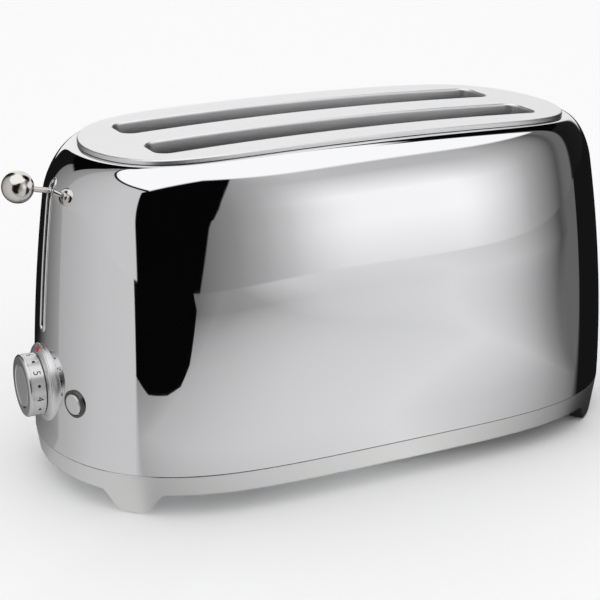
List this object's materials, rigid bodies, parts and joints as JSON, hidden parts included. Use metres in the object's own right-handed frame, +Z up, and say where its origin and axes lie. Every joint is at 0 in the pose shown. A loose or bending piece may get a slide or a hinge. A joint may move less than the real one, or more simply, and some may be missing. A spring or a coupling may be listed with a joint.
{
  "type": "four-slice toaster",
  "caption": "Long-slot toaster with a polished rounded shell, crowned satin top, sprung lever carriage, browning knob, push buttons and pull-out crumb tray.",
  "frame": {"origin": "on the table under the middle of the whole toaster, lever ball included", "axes": "+X along the toaster from the lever end to the crumb tray end, +Y across it away from the pictured long side, +Z up"},
  "size_m": [0.4134, 0.2074, 0.215],
  "materials": {
    "chrome": "mirror polished",
    "satin_steel": "satin",
    "base_grey": "satin metallic grey",
    "dark_steel": "matte dark",
    "zinc_sheet": "zinc plated, dull",
    "spring_wire": "drawn wire, dull",
    "aluminium_sheet": "mill finish",
    "mica": "matte mineral board",
    "rubber": "matte",
    "dark_plastic": "matte",
    "light_plastic": "satin",
    "board_green": "satin",
    "copper_coil": "wound wire",
    "red_paint": "gloss"
  },
  "bodies": {
    "housing": {"outer_shell": "chrome", "top_plate": "satin_steel", "slot_collar_near": "dark_steel", "slot_collar_far": "dark_steel", "base_skirt": "base_grey", "bottom_plate": "zinc_sheet", "cord_gland": "rubber", "terminal_block": "light_plastic", "guide_rod": "zinc_sheet", "return_spring": "spring_wire", "end_frame_front": "zinc_sheet", "end_frame_rear": "zinc_sheet", "heat_reflector_near": "aluminium_sheet", "heat_reflector_far": "aluminium_sheet", "dial_index": "red_paint", "button_bezel_near": "dark_plastic", "button_bezel_far": "dark_plastic", "control_board": "board_green", "latch_electromagnet": "copper_coil", "base_screw_1": "zinc_sheet", "base_screw_2": "zinc_sheet", "base_screw_3": "zinc_sheet", "base_screw_4": "zinc_sheet", "foot_pad_front_near": "rubber", "foot_pad_front_far": "rubber", "foot_pad_rear_near": "rubber", "foot_pad_rear_far": "rubber", "heater_card_near_inner": "mica", "heater_card_near_outer": "mica", "heater_card_far_inner": "mica", "heater_card_far_outer": "mica", "lever_slot_trim": "chrome", "knob_flange": "satin_steel", "browning_control": "dark_plastic"},
    "carriage": {"carriage_slider": "zinc_sheet", "lever_stem": "chrome", "lever_ball": "chrome", "latch_keeper": "zinc_sheet", "bread_carrier_near": "zinc_sheet", "bread_carrier_far": "zinc_sheet"},
    "knob": {"browning_knob": "satin_steel", "knob_shaft": "zinc_sheet"},
    "stop_button": {"stop_button": "light_plastic"},
    "function_button_near": {"function_button_near": "light_plastic"},
    "function_button_far": {"function_button_far": "light_plastic"},
    "crumb_tray": {"crumb_tray_pan": "aluminium_sheet", "crumb_tray_front": "base_grey"},
    "bread_guard_near_inner": {"bread_guard_near_inner": "spring_wire"},
    "bread_guard_near_outer": {"bread_guard_near_outer": "spring_wire"},
    "bread_guard_far_inner": {"bread_guard_far_inner": "spring_wire"},
    "bread_guard_far_outer": {"bread_guard_far_outer": "spring_wire"}
  },
  "joints": [
    {"name": "lever_slide", "type": "slide", "parent": "housing", "child": "carriage", "axis": [0, 0, -1], "range_m": [0, 0.078], "stiffness_N_per_m": 40, "springref_m": -0.15, "deforming": ["return_spring"]},
    {"name": "knob_turn", "type": "hinge", "parent": "housing", "child": "knob", "pos_m": [-0.20312, 0, 0.065], "axis": [-1, 0, 0], "range_deg": [0, 245]},
    {"name": "stop_press", "type": "slide", "parent": "housing", "child": "stop_button", "axis": [1, 0, 0], "range_m": [0, 0.0015], "stiffness_N_per_m": 800, "springref_m": -0.001},
    {"name": "function_near_press", "type": "slide", "parent": "housing", "child": "function_button_near", "axis": [0.9244, 0.3813, 0], "range_m": [0, 0.0015], "stiffness_N_per_m": 800, "springref_m": -0.001},
    {"name": "function_far_press", "type": "slide", "parent": "housing", "child": "function_button_far", "axis": [0.9244, -0.3813, 0], "range_m": [0, 0.0015], "stiffness_N_per_m": 800, "springref_m": -0.001},
    {"name": "crumb_tray_slide", "type": "slide", "parent": "housing", "child": "crumb_tray", "axis": [1, 0, 0], "range_m": [0, 0.31]},
    {"name": "guard_near_inner_lean", "type": "hinge", "parent": "housing", "child": "bread_guard_near_inner", "pos_m": [0.0075, -0.0151, 0.054], "axis": [1, 0, 0], "range_deg": [0, 4.2]},
    {"name": "guard_near_outer_lean", "type": "hinge", "parent": "housing", "child": "bread_guard_near_outer", "pos_m": [0.0075, -0.0435, 0.054], "axis": [1, 0, 0], "range_deg": [-4.2, 0]},
    {"name": "guard_far_inner_lean", "type": "hinge", "parent": "housing", "child": "bread_guard_far_inner", "pos_m": [0.0075, 0.0151, 0.054], "axis": [1, 0, 0], "range_deg": [-4.2, 0]},
    {"name": "guard_far_outer_lean", "type": "hinge", "parent": "housing", "child": "bread_guard_far_outer", "pos_m": [0.0075, 0.0435, 0.054], "axis": [1, 0, 0], "range_deg": [0, 4.2]}
  ],
  "couplings": [
    {"joint": "guard_near_inner_lean", "follows": "lever_slide", "rad_per_m": 0.89},
    {"joint": "guard_near_outer_lean", "follows": "lever_slide", "rad_per_m": -0.89},
    {"joint": "guard_far_inner_lean", "follows": "lever_slide", "rad_per_m": -0.89},
    {"joint": "guard_far_outer_lean", "follows": "lever_slide", "rad_per_m": 0.89}
  ]
}
